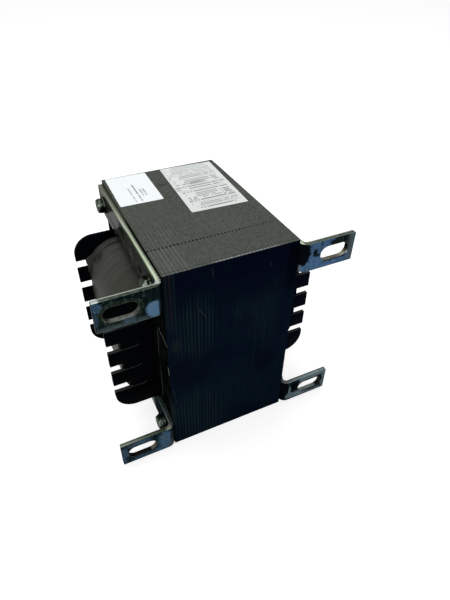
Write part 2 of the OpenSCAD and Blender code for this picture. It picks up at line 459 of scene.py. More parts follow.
# Mounting foot: slot between its two ends, measured inwards from the foot's tip, and half its height
SLOT_FROM_TIP = (24.5, 4.5)
SLOT_HALF = 5.0
BEND_R = 2.5
slot_mid_x = strip_high.x - sum(SLOT_FROM_TIP) / 2
slot_straight = (SLOT_FROM_TIP[0] - SLOT_FROM_TIP[1]) / 2 - SLOT_HALF
foot_from_x = strip_outer_x + BEND_R

# Comb edges of the bobbin flanges: teeth, and the lead slots between them
TOOTH, LEAD_SLOT = 11.8, 6.7
LEAD_LEVELS = [mid_z + (number - 1.5) * (TOOTH + LEAD_SLOT) for number in range(4)]

# The core's sheets: one pack of E and one of I in each of 37 pairs of layers
PACK_PAIRS = 37
PACK = (right_x - left_x) / (2 * PACK_PAIRS)


# --- finishes ---

# Scratches on the core's near face: X and Z at one end, X and Z at the other, and width
SCRATCHES = [(-22.5, 120.7, -19.7, 115.6, 0.35), (-19.4, 115, -17.5, 111.5, 0.3),
             (-13.7, 146.9, -13.1, 140.5, 0.25), (23.5, 139.9, 23.9, 137.2, 0.3),
             (-41.5, 58, -40, 44, 0.3)]
# Dark blotches on the top face: X, Y, half size, strength
TOP_BLOTCHES = [(-9, 40, 1.3, 0.4), (-3, 40, 1.1, 0.3), (-26, -36.6, 0.8, 0.5),
                (-24, -36.6, 0.8, 0.5), (-19, -37, 0.6, 0.4), (-17, -37, 0.6, 0.4)]
# Where the pale sheet edges show on the near face: X, Z, half sizes, strength
PALE_ZONES = [(-25, 105, 13, 24, 0.95), (-26, 22, 19, 28, 0.9), (22, 95, 10, 24, 0.4),
              (3, 100, 2.5, 14, 0.3), (16, 65, 2.5, 12, 0.3), (0, 20, 14, 16, 0.3)]


def varnished_sheets():
    """Stacked sheet edges under dark varnish: grey on top, partly dust and partly painted light from
    above; blue-black elsewhere, with painted shade and a painted blue reflection on the near face
    """
    f = Finish("varnished_sheets")
    across = (f.x - left_x) / (2 * PACK)
    per_pair = f.chance(across.floor())
    gap_line = across.fraction().within(0.25, 0.2, 0.1)
    pale_line = across.fraction().within(0.75, 0.2, 0.18)
    cloud = f.noise(0.03, seed=7)
    grain = f.noise((1.6, 0.5, 0.5), detail=4, roughness=0.6, seed=11)
    run_up = f.noise((0.9, 0.012, 0.012), seed=3)
    wander = (grain - 0.5) * 0.6

    mottle = f.noise((0.45, 0.3, 0.3), roughness=0.7, seed=19)
    shown = (0.1 + f.x.fade(-24.6, -26.4) * f.y.fade(near_joint_y + 1, near_joint_y - 1) * 0.55
             + f.spot((-30, -26, 0), (11, 13, 0), 0.5) * 0.3
             + f.spot((8, -22, 0), (14, 14, 0), 0.5) * 0.2)
    # Painted shade along the top face's left edge, beside the strip
    shaded_left_edge = f.x.fade(left_x + 2, left_x + 0.4) * grain.fade(0.4, 0.6)
    joint = f.y.within(near_joint_y + 0.3, 0.45, 0.3).most(f.y.within(far_joint_y - 0.3, 0.45, 0.3))
    worn = f.x.fade(24, 15, 0.25, 1) * (0.6 + 0.4 * per_pair) * f.y.fade(10, 0, 0.5, 1)
    lip = f.y.fade(near_y + 1.3, near_y + 0.8) * (0.12 + 0.8 * f.x.within(8, 16, 9))
    # The top colour: dust, with painted light from above
    dusty_lit_top = f.washed(
        f.mix(grain.fade(0.35, 0.65), (44, 50, 41), (90, 97, 87)),
        (mottle.fade(0.4, 0.7) * 0.5, (94, 100, 90)),
        (mottle.fade(0.5, 0.3) * 0.4, (48, 52, 44)),
        (cloud.fade(0.35, 0.7) * 0.35, (83, 88, 78)),
        (pale_line * shown * (0.55 + 0.45 * per_pair), (122, 136, 124)),
        (shaded_left_edge * 0.6, (45, 50, 22)),
        *[(f.spot((x, y, 0), (half, half, 0), 0.5, wander) * share, (16, 17, 15))
          for x, y, half, share in TOP_BLOTCHES],
        (joint * gap_line * worn, (4, 5, 4)),
        (f.y.within(near_y + 2, 0.25, 0.4) * 0.3, (20, 23, 19)),
        (lip * (0.45 + 0.55 * pale_line) * (0.6 + 0.4 * per_pair), (300, 330, 340)))

    stain = f.noise((0.11, 0.09, 0.09), roughness=0.6, seed=23)
    clouded = f.front_spot(-27, 72, 14, 17, 0.4).most(f.front_spot(27, 55, 9, 9, 0.4))
    zones = sum(f.front_spot(x, z, half_x, half_z, 0.4) * share
                for x, z, half_x, half_z, share in PALE_ZONES)
    fine = run_up.fade(0.3, 0.6, 0.25, 1) * (0.12 + 0.88 * pale_line)
    edge_run = f.x.fade(left_x + 8, left_x + 6) * (0.3 + 0.7 * pale_line) * f.z.fade(104, 120)
    facing = f.ny.fade(-0.5, -0.9)
    # Near face: its dark blue ground is painted shade with a painted blue reflection
    near_face = f.washed(
        f.mix(cloud.fade(0.3, 0.7), (2.2, 7, 17), (5, 12.5, 24)),
        (f.z.fade(mid_z + 35, top_z - 10) * 0.75, (0.8, 2.4, 11.5)),
        (stain.fade(0.52, 0.64) * 0.45, (3.4, 4, 15)),
        (stain.fade(0.46, 0.36) * 0.45, (1, 8.5, 15)),
        (clouded * 0.5, (2.6, 3.4, 11)),
        (f.x.fade(34, 40) * f.z.within(80, 28, 12) * 0.6, (3, 9.5, 22)),
        (f.front_spot(40, 132, 4, 20, 0.5) * 0.6, (0.2, 0.8, 2.4)),
        (fine * (0.04 + 0.06 * cloud + zones), (11, 23.5, 28.5)),
        (edge_run * 0.55, f.mix(per_pair, (26, 22, 20), (10, 28, 30))),
        (f.front_spot(-37.5, 96, 3, 5, 0.6, wander * 2) * 0.35, (26, 34, 36)),
        # Painted teal sheen along the near-left corner
        (f.front_spot(-42.6, 32, 2, 10, 0.6, wander) * 0.85, (12.5, 21.5, 25.5)),
        *[(f.near_line(f.x, f.z, (x1, z1), (x2, z2), width) * 0.5 * facing, (60, 63, 68))
          for x1, z1, x2, z2, width in SCRATCHES])

    runs = f.noise((0.3, 0.5, 0.05), seed=17)
    ragged_y = f.y + (run_up - 0.5) * 1.6 + (cloud - 0.5) * 3
    ragged_z = f.z + (grain - 0.5) * 1.6
    # Painted highlights on the left face's varnish: a streak, and a glint at its near corner
    highlight_streak = f.near_line(ragged_y, ragged_z, (-47, 100.7), (-61.5, 97.5), 0.75)
    bead = f.near_line(ragged_y, ragged_z, (-43.5, 96), (-43, 32), 0.7) * runs.fade(0.35, 0.5)
    corner_glint = f.near_line(ragged_y, ragged_z, (-60.6, 77.8), (-61.6, 72.6), 1)
    on_left = f.nx.fade(-0.5, -0.9)
    flank = f.washed(
        f.mix(cloud, (0.8, 1.3, 1.4), (3, 4.2, 3.6)),
        (runs.fade(0.52, 0.64) * 0.5, (16, 20, 15)),
        # Painted teal sheen near the lower front corner
        (f.spot((0, -61, 36), (0, 2.8, 12), 0.6, wander) * 0.75, (16, 24, 25)),
        (f.z.fade(146.5, 147.5) * f.y.fade(-4, 8) * 0.8, (60, 66, 50)),
        (on_left * highlight_streak * 0.95, (130, 135, 125)),
        (on_left * bead * 0.85, (85, 88, 86)),
        (on_left * corner_glint * 0.9, (200, 215, 200)))

    # Upward faces take the paler top colour, which is partly painted light
    colour = f.washed(near_face, (abs(f.nx).fade(0.6, 0.95), flank), (f.nz.fade(0.45, 0.9), dusty_lit_top))
    return f.surface(colour, (grain * 0.7 + pale_line * 0.3, 0.04, 0.5),
                     Roughness=0.62 - 0.14 * cloud + 0.1 * grain, Specular_IOR_Level=0)


def moulded_black():
    """Black moulded plastic with a fine spark-eroded grain, dust on its upper faces and painted
    highlights along its edges
    """
    f = Finish("moulded_black")
    cloud = f.noise(0.05, seed=2)
    grain = f.noise(6, seed=5)
    low_near = f.z.fade(50, 32) * f.x.within(-49, 5, 4) * f.ny.fade(-0.6, -0.9)
    # Painted highlights on the eased edges and along the upper edges of the near face
    edge_highlight = abs(f.ny).within(0.6, 0.2, 0.12) * cloud.fade(0.3, 0.6)
    dust = f.nz.fade(0.6, 1) * f.y.fade(10, -20)
    ledge_highlight = f.nz.fade(0.3, 0.8) * f.y.fade(flange_low.y + 1, flange_low.y + 0.6)
    colour = f.washed(
        f.mix(cloud, (0.7, 1.2, 1.9), (1.6, 2.2, 3.2)),
        # Painted blue shade on the right-hand comb
        (f.x.fade(40, 52) * 0.85, f.mix(cloud, (0.4, 2, 7), (1.2, 3.6, 11))),
        (low_near * 0.5, (6, 2.2, 1.8)),
        (edge_highlight * 0.5, (16, 17, 16)),
        (dust * (0.4 + 0.6 * cloud), (40, 40, 36)),
        (ledge_highlight * (0.5 + 0.5 * cloud), (52, 58, 60)))
    return f.surface(colour, (grain, 0.04, 0.35), Roughness=0.42 + 0.18 * cloud,
                     Specular_IOR_Level=0.004)


def wrap_film():
    """Dark grey varnished wrap with soft slanted creases, their sheen and shade painted into the colour
    """
    f = Finish("wrap_film")
    cloud = f.noise((0.04, 0.03, 0.04), seed=4)
    grain = f.noise(1.4, seed=6)
    slanted = f.node("ShaderNodeVectorRotate", {"rotation_type": "Z_AXIS"},
                     {"Vector": f.at, "Angle": math.radians(-14)})
    streak = f.noise((0.035, 0.19, 0.035), detail=4, roughness=0.6, at=slanted.outputs[0])
    lower = f.z.fade(mid_z + 40, mid_z + 16)
    # Painted shade on the left side, towards the far flange
    far_left_shade = f.nx.fade(-0.6, -0.95) * f.y.fade(0, 30)
    # A dark spot on the left side
    dark_blot = f.spot((-59.3, 25.1, 113), (2.4, 3.2, 2.8), 0.6)
    # Painted shade along the start of the loose margin
    margin = f.y.within(wrap_high.y - 6.2, 0.7, 0.8) * f.z.fade(mid_z + 37, mid_z + 42)
    edge = f.y.fade(wrap_high.y - 1.4, wrap_high.y - 0.6) * f.x.fade(30, -30)
    colour = f.washed(
        f.mix(cloud.fade(0.3, 0.7), (40, 42, 38), (50, 53, 48)),
        # Painted sheen and painted shade along the creases
        (streak.fade(0.48, 0.62) * cloud.fade(0.35, 0.6) * 0.85, (70, 72, 66)),
        (streak.fade(0.46, 0.34) * 0.5, (24, 26, 22)),
        (f.y.fade(16, -14) * 0.75, (28, 30, 21)),
        (lower * 0.85, (24, 27, 17)),
        (f.y.fade(8, 30) * 0.35, (22, 23, 21)),
        (far_left_shade * 0.75, (12, 13, 9)),
        (dark_blot * 0.7, (8, 8, 7)),
        (margin * f.x.fade(-62, -48) * 0.5, (12, 13, 11)),
        (edge * 0.4, (110, 115, 105)))
    return f.surface(colour, (streak * 0.7 + grain * 0.3, 0.2, 0.3),
                     Roughness=0.5 + 0.15 * cloud, Specular_IOR_Level=0.08)


# Patches of sheen on the feet's near faces: X, Z, half sizes, strength; below 0 they are bare
# The blue is partly the plating's own and partly a painted reflection; the bare patches at X 44.3 and 45,
# beside the right-hand bends, are painted shade
FOOT_SHEEN = [
    (-79, 143.2, 2.6, 3.2, 0.6), (-63.5, 130.6, 3.6, 2.6, 0.6), (-80.2, 136, 1.2, 6, 0.35),
    (60, 130, 20, 6, 1), (53, 140, 7, 9, 0.9), (62, 144.3, 6, 3.5, 0.8), (79.5, 137, 3.5, 10, 0.5),
    (53, 139.5, 1.7, 3, -0.9), (71, 144, 7, 2.4, -1), (77, 138.5, 1.9, 5.5, -0.9),
    (55.5, 137.5, 2.6, 1.2, -0.8), (57.2, 144.6, 1.3, 2.8, -0.8), (68, 131.6, 9, 0.8, -0.9),
    (44.3, 139.8, 4.9, 6.9, -2.2), (-50.5, 14.2, 4, 10, 0.95), (-69, 20.2, 10, 2.6, 0.6),
    (-46.8, 6.7, 2.5, 5, 0.6), (-79.5, 12.7, 2.4, 9, 0.6), (-66, 4.9, 12, 1.6, 0.5),
    (-54.5, 5.7, 4, 3, 0.6), (-76.5, 7.7, 3, 3.5, -0.5), (-58.6, 13.4, 2.2, 4, -0.6),
    (-54.5, 15, 2.5, 6, 0.4), (50, 12.5, 1.6, 6, 1), (60, 18, 3.5, 5, 0.9),
    (69, 21.6, 12, 2.2, 1), (80, 12.7, 2.3, 9, 0.9), (54, 7, 10, 3.2, 1),
    (68, 5, 13, 1.5, 0.8), (59.2, 12.5, 1.6, 4, 0.8), (53.8, 14.5, 2.9, 4.6, -1.8),
    (53.2, 20.8, 4.6, 3.2, -1.8), (75.2, 14.5, 3.6, 4.2, -1.8), (63, 8, 2.6, 1.2, -1.2),
    (71, 7, 4.2, 1.2, -0.9), (45, 17.5, 3.6, 7.6, -2.5)]
# Colours of the four feet: left top, right top, left bottom, right bottom; darker and lighter tones,
# differing between the feet as painted light and shade
BARE = (((1, 4, 5), (1, 3, 5), (2, 6, 10), (2, 5, 6)),
        ((4.8, 9.5, 9.5), (7, 13, 14), (9, 19, 27), (12, 20, 23)))
SHEEN = (((36, 88, 150), (32, 74, 145), (23, 54, 96), (56, 88, 108)),
         ((62, 130, 205), (55, 110, 190), (48, 95, 150), (115, 158, 180)))
FOOT_EDGE = (((12, 18, 14), (45, 56, 44), (22, 30, 14), (120, 150, 155)),
             ((45, 55, 46), (110, 132, 108), (70, 86, 52), (190, 235, 245)))
SAWN = (((48, 51, 44), (100, 92, 74), (5, 5, 5), (90, 110, 98)),
        ((96, 102, 90), (170, 160, 130), (16, 16, 15), (160, 190, 170)))
DULL_GREY = (70, 88, 85)
DULLED_SHEEN = (DULL_GREY, (30, 62, 108), DULL_GREY, DULL_GREY)
FOOT_RIM = ((50, 66, 58), (240, 290, 270), (16, 26, 26), (120, 160, 175))


def plated_strip():
    """Zinc-plated bar: blue sheen broken by dark green, the blue partly a painted reflection; pale upper
    edges, olive rims; painted shade, reflections and glints where marked
    """
    f = Finish("plated_strip")
    out = abs(f.x)
    upper, right = f.z.fade(mid_z - 1, mid_z + 1), f.x.fade(-1, 1)
    lower, left = 1 - upper, 1 - right
    off_middle_z = f.z - strip_mid_z * upper - (top_z - strip_mid_z) * lower
    to_slot = (abs(out - slot_mid_x) - slot_straight).most(0)
    reach = (to_slot * to_slot + off_middle_z * off_middle_z) ** 0.5
    patch = f.noise((0.13, 0.1, 0.16), detail=4, roughness=0.6, seed=1)
    fine = f.noise((0.5, 0.5, 0.6), detail=4, roughness=0.65, seed=8)
    streaks = f.noise((1.1, 0.3, 0.1), roughness=0.6, seed=9)

    def by_foot(left_top, right_top, left_bottom, right_bottom):
        """One colour for each foot, lighter or darker as painted light and shade"""
        return f.mix(upper, f.mix(right, left_bottom, right_bottom), f.mix(right, left_top, right_top))

    def toned(share, tones):
        """From the darker to the lighter tone of each foot"""
        return f.mix(share, by_foot(*tones[0]), by_foot(*tones[1]))

    # The feet's near faces
    # Blue sheen: partly the plating's blue, partly a painted reflection
    sheen = f.mix(f.noise(0.3, detail=2, seed=10).fade(0.5, 0.62) * 0.55,
                  toned(fine.fade(0.35, 0.7), SHEEN), by_foot(*DULLED_SHEEN))
    wobble = (patch - 0.5) * 1.5 + (fine - 0.5) * 0.7 + (streaks - 0.5) * 0.5
    shown = sum(f.front_spot(x, z, half_x, half_z, 0.22, wobble) * share
                for x, z, half_x, half_z, share in FOOT_SHEEN)
    blue_patch = f.front_spot(-48.9, 132.6, 4.9, 5.6, 0.2, wobble * 0.4) * f.z.fade(138.6, 137.6)
    low_band = f.z.fade(130.6, 128.6) * left * upper * out.fade(52, 55)
    strokes = f.noise((0.9, 0.5, 0.35), detail=4, roughness=0.6, seed=29).fade(0.56, 0.63)
    hatched = strokes * f.z.fade(129, 132) * left * out.fade(50, 54)
    scores = f.noise((0.7, 0.5, 0.5), detail=4, roughness=0.7, seed=30).within(0.5, 0.02, 0.03)
    scored = scores * left * upper * out.fade(52, 56)
    worn_tip = out.fade(75.5, 78.5) * right * upper
    # Painted shade on the right-hand feet beside their bends, next to the core
    bend_shade = f.front_spot(44.3, 139.8, 4.9, 6.9, 0.15, wobble * 0.35)
    bend_shade = bend_shade.most(f.front_spot(45, 17.5, 3.6, 7.6, 0.2, wobble))
    bend_shade = bend_shade.most(f.front_spot(53.4, 17.2, 3.4, 5.4, 0.3, wobble) * 0.85)
    # Painted glint along the lower edge of the left top foot's slot
    slot_edge_glint = f.near_line(f.x, f.z, (-76.3, 134.2), (-73.4, 132.2), 0.45)
    slot_edge_glint = slot_edge_glint.most(f.near_line(f.x, f.z, (-73.4, 132.2), (-66, 131.8), 0.35))
    halo = reach.within(6.6, 0.5, 0.8) * fine.fade(0.42, 0.56) * upper * left
    face = f.washed(
        f.mix(shown.most(0).least(1), toned(streaks.fade(0.4, 0.62), BARE), sheen),
        (blue_patch, f.mix(streaks, (44, 95, 160), (72, 132, 205))),
        (low_band * (0.35 + fine * 0.5), (55, 78, 82)),
        (hatched * 0.7, (36, 54, 42)),
        (scored * 0.7, (1, 3, 4)),
        (worn_tip * (0.4 + 0.5 * fine), (56, 74, 74)),
        (f.z.fade(127.7, 127.2) * upper * 0.6, (90, 110, 105)),
        (bend_shade, (1, 1.8, 3.4)),
        (slot_edge_glint * 0.7, (240, 260, 220)),
        (halo * 0.55, (22, 30, 20)),
        (reach.fade(5.9, 5.2) * 0.25, (85, 85, 60)),
        (out.fade(47, 46.2) * left * 0.85, (3, 6, 8)),
        # Painted glint on the right top foot, beside its slot
        (f.front_spot(76.5, 134, 1, 1, 0.5) * 0.8, (350, 360, 340)))

    # The upper edges, along the core and on the feet
    front = f.y.fade(-64.6, -65)
    foot_edge = f.washed(
        toned(fine.fade(0.35, 0.65), FOOT_EDGE),
        (f.x.fade(-62, -70) * lower * 0.7, (36, 44, 38)),
        (front * lower * left * 0.85, (10, 18, 18)),
        (front * upper * right * 0.7, (150, 185, 180)),
        (f.y.fade(-63.5, -62.9) * upper * 0.8, (420, 450, 400)),
        (f.y.fade(-63.7, -63.1) * lower * right * 0.8, (36, 44, 22)),
        (f.y.within(-64.4, 0.15, 0.25) * lower * left * 0.5, (150, 175, 150)),
        (f.x.fade(-76.5, -78.5) * upper * 0.8, (300, 340, 320)))
    off_middle_x = out - (right_x + strip_thick / 2)
    border = off_middle_x.fade(0.6, 1.1) * f.y.fade(4, -12)
    border = border.most(off_middle_x.fade(-0.6, -1.1) * f.y.within(-12, 16, 16) * 0.8)
    left_bend = f.y.fade(-58, -61.5) * left * upper
    on_foot = out.fade(foot_from_x - 1, foot_from_x + 2).most(left_bend * 0.93)
    upper_edge = f.washed(
        f.mix(f.noise((0.05, 0.05, 0.07), detail=2, seed=12), (380, 460, 330), (550, 610, 490)),
        (f.y.fade(-40, 70), (160, 172, 132)),
        (border * 0.85, (45, 62, 28)),
        (lower, f.mix(f.y.fade(-57, -50), (150, 175, 165), (160, 240, 240))),
        ((out - right_x - 2.3).fade(0, 0.4) * lower * left * 0.8, (550, 600, 500)),
        (on_foot * 0.95, foot_edge))
    rim_colour = f.mix(f.ny.fade(-0.3, -0.5) * on_foot,
                       f.mix(upper, (300, 340, 290), (40, 55, 30)), by_foot(*FOOT_RIM))

    # The flat sides along the core; on the left top strip their pattern is painted reflection
    on_flat = abs(f.nx).fade(0.6, 0.95)
    # Left top strip: a paler middle, a darker near part, a dark far part past a ragged diagonal and a
    # dark green patch, all painted reflection, with the metal turned down where they are dark
    ragged = (patch - 0.5) * 22 + (fine - 0.5) * 6
    far_dark_reflection = (f.y + (f.z - 142) * 1.67 + ragged).fade(-6, 7)
    green_reflection = f.spot((0, 2.5, 139.5), (0, 8.5, 7), 0.85, (patch - 0.5) * 0.9)
    near_coil_reflection = f.y.fade(-9, -17)
    top_line = f.z.fade(145.5, 146.2) * f.y.fade(3, -4)
    # A small dark spot on the left top strip's outer side
    dark_fleck = f.spot((0, -31, 134.8), (0, 3.6, 2.3), 0.4, (fine - 0.5) * 0.5)
    navy = lower * (f.y + ragged * 0.5).fade(-20, -32)
    zinc = f.washed(
        f.mix(patch.fade(0.35, 0.65), (105, 122, 118), (185, 200, 188)),
        (fine.fade(0.5, 0.7) * 0.35, (60, 85, 105)),
        (streaks.fade(0.52, 0.68) * 0.35, (40, 55, 40)))
    flat = f.washed(
        f.mix(patch.fade(0.3, 0.7), (85, 90, 76), (140, 140, 122)),
        (far_dark_reflection, f.mix(streaks, (20, 21, 18), (40, 40, 38))),
        (fine.fade(0.55, 0.7) * 0.35, (40, 45, 30)),
        (green_reflection * 0.95, (7, 15, 8)),
        (near_coil_reflection * 0.8, f.mix(patch, (17, 18, 18), (28, 28, 26))),
        (top_line * 0.7, (36, 48, 12)),
        (dark_fleck * 0.9, (4, 4, 4)),
        (f.y.fade(-53, -58), (12, 24, 34)),
        (right.most(lower), zinc),
        (navy * left * 0.98, (1.6, 8, 14.5)))
    metal_turned_down = (near_coil_reflection * 0.68).most(green_reflection * 0.92).most(dark_fleck).most(top_line * 0.7)
    flat_metal = far_dark_reflection.fade(0, 1, 1, 0.42) * (1 - metal_turned_down) * upper + lower * (1 - navy * 0.97)
    flat_metal = flat_metal * left + right

    sawn = f.washed(
        toned(fine.fade(0.4, 0.6), SAWN),
        (f.x.fade(-62, -60) * lower * left, (100, 88, 66)),
        (f.x.fade(72.5, 74.5) * lower * 0.9, (7, 9, 16)),
        # Painted shade on the slots' downward faces
        (f.nz.fade(0.3, -0.2), (10, 7, 7)))
    low_bend = f.y.fade(-53, -57) * lower * left * abs(f.nx).fade(0.3, 0.6)
    core_shade = f.nx.fade(-0.15, -0.5) * right * f.ny.fade(0.3, -0.1)
    core_shade = core_shade * (1 - upper * f.z.fade(132.6, 131) * f.ny.fade(-0.3, -0.7))
    colour = f.washed(
        face,
        (on_flat, flat),
        (low_bend * 0.85, (14, 18, 16)),
        (f.nz.fade(0.35, 0.8), upper_edge),
        (f.nz.within(0.62, 0.22, 0.1) * 0.9, rim_colour),
        (core_shade, (1, 2, 4)),
        (reach.fade(5.6, 5.3) * abs(f.ny).fade(0.75, 0.45), sawn))
    rough = (0.16 + 0.1 * patch + f.nz.fade(0.4, 0.8) * 0.22
             + on_flat * (right * 0.12 + f.y.within(-35, 22, 8) * left * 0.05))
    return f.surface(colour, (fine * 0.5 + patch * 0.5, 0.04, 0.25),
                     Metallic=on_flat * flat_metal + (1 - on_flat), Roughness=rough,
                     Specular_IOR_Level=0, Specular_Tint=(0.5, 0.5, 0.5))


def plated_fixing():
    """Dull zinc on the bolts, nuts and washers, darkened by varnish and by a painted dark reflection on
    their sides, with a painted highlight on the near upper facets
    """
    f = Finish("plated_fixing")
    patch = f.noise(0.3, detail=4, roughness=0.6, seed=15)
    grain = f.noise(3, detail=2, seed=16)
    # Painted highlight on the near fixings' upper front facets
    facet_highlight = f.ny.fade(-0.4, -0.75) * f.nz.fade(0.1, 0.4) * patch.fade(0.35, 0.5)
    ends = f.mix(patch.fade(0.35, 0.65), (12, 18, 11), (75, 90, 66))
    colour = f.washed(
        # The sides' dark colour stands in for a dark reflection
        f.mix(patch.fade(0.35, 0.65), (4, 7, 4), (40, 50, 34)),
        (facet_highlight * f.y.fade(0, 20, 1, 0.45) * 0.9, (300, 360, 310)),
        (abs(f.nx).fade(0.55, 0.85), ends))
    return f.surface(colour, (grain, 0.04, 0.3), Metallic=1, Roughness=0.18 + 0.2 * patch,
                     Specular_Tint=(0.5, 0.5, 0.5))


def copper_turns():
    """Rows of enamelled copper wire"""
    f = Finish("copper_turns")
    wire = 1.2
    row = ((f.y / wire).fraction() - 0.5) * 2
    crown = 1 - row * row
    tone = f.noise(0.2, detail=2, seed=20)
    at_end = abs(f.y).fade(wrap_high.y - 0.4, wrap_high.y - 0.1)
    # Painted light on each wire's crown and painted shade between the wires
    colour = f.washed(f.mix(crown * 0.7 + tone * 0.3, (100, 30, 12), (420, 150, 55)),
                      (at_end, (20, 19, 17)))
    return f.surface(colour, (crown, 0.3, 0.8), Roughness=0.32 + 0.1 * tone, Metallic=0.8)


def insulation_paper():
    """Layers of insulating paper seen on edge"""
    f = Finish("insulation_paper")
    fibre = f.noise(0.8, detail=4, seed=22)
    sheet = 0.5
    layers = (f.x / sheet).fraction()
    colour = f.mix(fibre * 0.6 + layers * 0.4, (360, 300, 200), (580, 500, 360))
    return f.surface(colour, (fibre, 0.1, 0.4), Roughness=0.75 + 0.1 * fibre,
                     Specular_IOR_Level=0.3)


def tinned_tab():
    """Tinned brass of the push-on tabs"""
    f = Finish("tinned_tab")
    patch = f.noise(0.4, seed=25)
    rolled = f.noise((0.5, 3, 0.5), detail=2, seed=26)
    colour = f.mix(patch.fade(0.3, 0.75), (520, 420, 240), (660, 620, 520))
    return f.surface(colour, (rolled, 0.03, 0.3), Metallic=1, Roughness=0.25 + 0.2 * patch)


BARS_IN_WORD, MARKED_BARS = 5, 0.8  # bars in a printed word, and the share of them that show


def printed_label(node, paper, ink, rows_across, blocks, rules, roughness):
    """A label with rows of short bars, which say nothing, and thin ruled lines"""
    f = Finish(node + "_print")
    low, high = span(node)
    across, down = f.x - low.x, high.y - f.y
    fibre = f.noise(0.7, seed=30)
    soft = f.noise(0.05, detail=2, seed=31)
    colour = f.mix(soft, paper, tuple(0.94 * level for level in paper))
    for left, right, top, bottom, pitch, bar, fill, weight in blocks:
        inside = (across > left) * (across < right) * (down > top) * (down < bottom)
        lines, run = (down - top, across) if rows_across else (across - left, down)
        row = lines / pitch
        height = row.fraction().within(0.5, 0.24, 0.1)
        # A word and a bar take their chance from different whole numbers in every row
        word = f.chance((run / (bar * BARS_IN_WORD)).floor() + row.floor() * 37 + 5) < fill
        mark = f.chance((run / bar).floor() + row.floor() * 71 + 9) < MARKED_BARS
        colour = f.mix(inside * height * word * mark * weight * (0.6 + 0.4 * fibre), colour, ink)
    for left, right, top in rules:
        inside = (across > left) * (across < right) * down.within(top, 0.12, 0.12)
        colour = f.mix(inside * 0.6, colour, ink)
    return f.surface(colour, (fibre, 0.02, 0.3), Roughness=roughness + 0.1 * soft,
                     Specular_IOR_Level=0.3)


# --- core: packs of E and I sheets, laid alternately from the near and the far side ---

CLEARANCE_R = 3.5
JOINT_GAP = 0.55
PACK_EASE = 0.06
I_DROP = 0.05  # how much lower the I sheets end
E_GIVE, I_GIVE = 0.02, 0.08  # how far in a pack may lie


def bolt_holes(x_from, x_to, *places):
    """Tools for the clamp bolts' clearance holes, each at a Y and Z"""
    return [rod("hole", CLEARANCE_R, x_from - PAST, x_to + PAST, y, z, sides=24)
            for y, z in places]


def e_pack():
    """One pack of E sheets with its back at the near side and its legs reaching to the far joint"""
    x_to = left_x + PACK
    piece = block("e_pack", (left_x, near_y, 0), (x_to, near_joint_y, top_z))
    edit(piece)
    for level in (bottom_leg[1].z, centre_leg[0].z, centre_leg[1].z, top_leg[0].z):
        slice_at(Z, level)

    def leg_root(middle, normal):
        on_leg = (middle.z < bottom_leg[1].z or middle.z > top_leg[0].z
                  or centre_leg[0].z < middle.z < centre_leg[1].z)
        return normal.y > ALIGNED and on_leg

    pick_faces(piece, leg_root)
    push((0, far_joint_y - near_joint_y - JOINT_GAP, 0))
    bpy.ops.mesh.select_all(action="SELECT")
    bpy.ops.mesh.dissolve_limited(angle_limit=math.radians(1))
    ease_edges(piece, PACK_EASE, segments=1)
    cut(piece, *bolt_holes(left_x, x_to, (bolt_y, bolt_z), (bolt_y, top_z - bolt_z)))
    return piece


def i_pack():
    """One pack of I sheets, which closes the legs at the far side and ends a little lower"""
    x_to = left_x + PACK
    piece = block("i_pack", (left_x, far_joint_y, 0), (x_to, far_y, top_z - I_DROP))
    ease_edges(piece, PACK_EASE, segments=1)
    cut(piece, *bolt_holes(left_x, x_to, (-bolt_y, bolt_z), (-bolt_y, top_z - bolt_z)))
    return piece


def core_sheets():
    """All packs side by side, some a little further in than others"""
    e_near, i_far = e_pack(), i_pack()
    e_far = mirrored(e_near, "e_pack_far", (1, -1, 1))
    i_near = mirrored(i_far, "i_pack_near", (1, -1, 1))
    packs = []
    for number in range(2 * PACK_PAIRS):
        layer = ((e_near, 1), (i_far, -1)) if number % 2 else ((e_far, -1), (i_near, 1))
        for (start, inwards), give in zip(layer, (E_GIVE, I_GIVE)):
            pack = copy_of(start, "pack")
            back = random.uniform(0, give)
            random.random()  # a pack takes two draws; the second one holds the later draws in place
            pack.location = Vector((number * PACK, back * inwards, 0)) * MM
            settle(pack)
            packs.append(pack)
    core = join("core_sheets", packs)
    for start in (e_near, i_far, e_far, i_near):
        discard(start)
    return core


fit(core_sheets(), varnished_sheets(), "core_steel",
    "near_yoke", "far_yoke", "top_leg", "centre_leg", "bottom_leg")


# --- mounting strips: flat bar, bent outwards at the near end ---

TIP_R, STRIP_EDGE_R = 0.5, 0.5


def strip_bar():
    """The right-hand top strip"""
    front_y, tip_x = strip_low.y, strip_high.x
    turn = Vector((foot_from_x, front_y + strip_thick + BEND_R, 0))
    piece = block("strip_bar", (right_x, turn.y, strip_low.z),
                  (strip_outer_x, strip_high.y, strip_high.z))
    edit(piece)
    pick_faces(piece, lambda middle, normal: normal.y < -ALIGNED)
    bpy.ops.mesh.spin(steps=8, angle=-math.pi / 2, center=turn * MM, axis=Z)
    normals_out()
    pick_faces(piece, lambda middle, normal: (normal.x > ALIGNED
                                              and middle.y < front_y + strip_thick))
    push((tip_x - turn.x, 0, 0))
    round_corners(piece, Y, TIP_R, 3, lambda middle: middle.x > tip_x - NEAR)
    slot = block("slot", (tip_x - SLOT_FROM_TIP[0], front_y - PAST, strip_mid_z - SLOT_HALF),
                 (tip_x - SLOT_FROM_TIP[1], front_y + strip_thick + PAST, strip_mid_z + SLOT_HALF),
                 Y, SLOT_HALF - 0.001, 10)
    cut(piece, slot, *bolt_holes(right_x, strip_outer_x,
                                 (bolt_y, strip_mid_z), (-bolt_y, strip_mid_z)))
    ease_edges(piece, STRIP_EDGE_R, segments=3)
    return piece


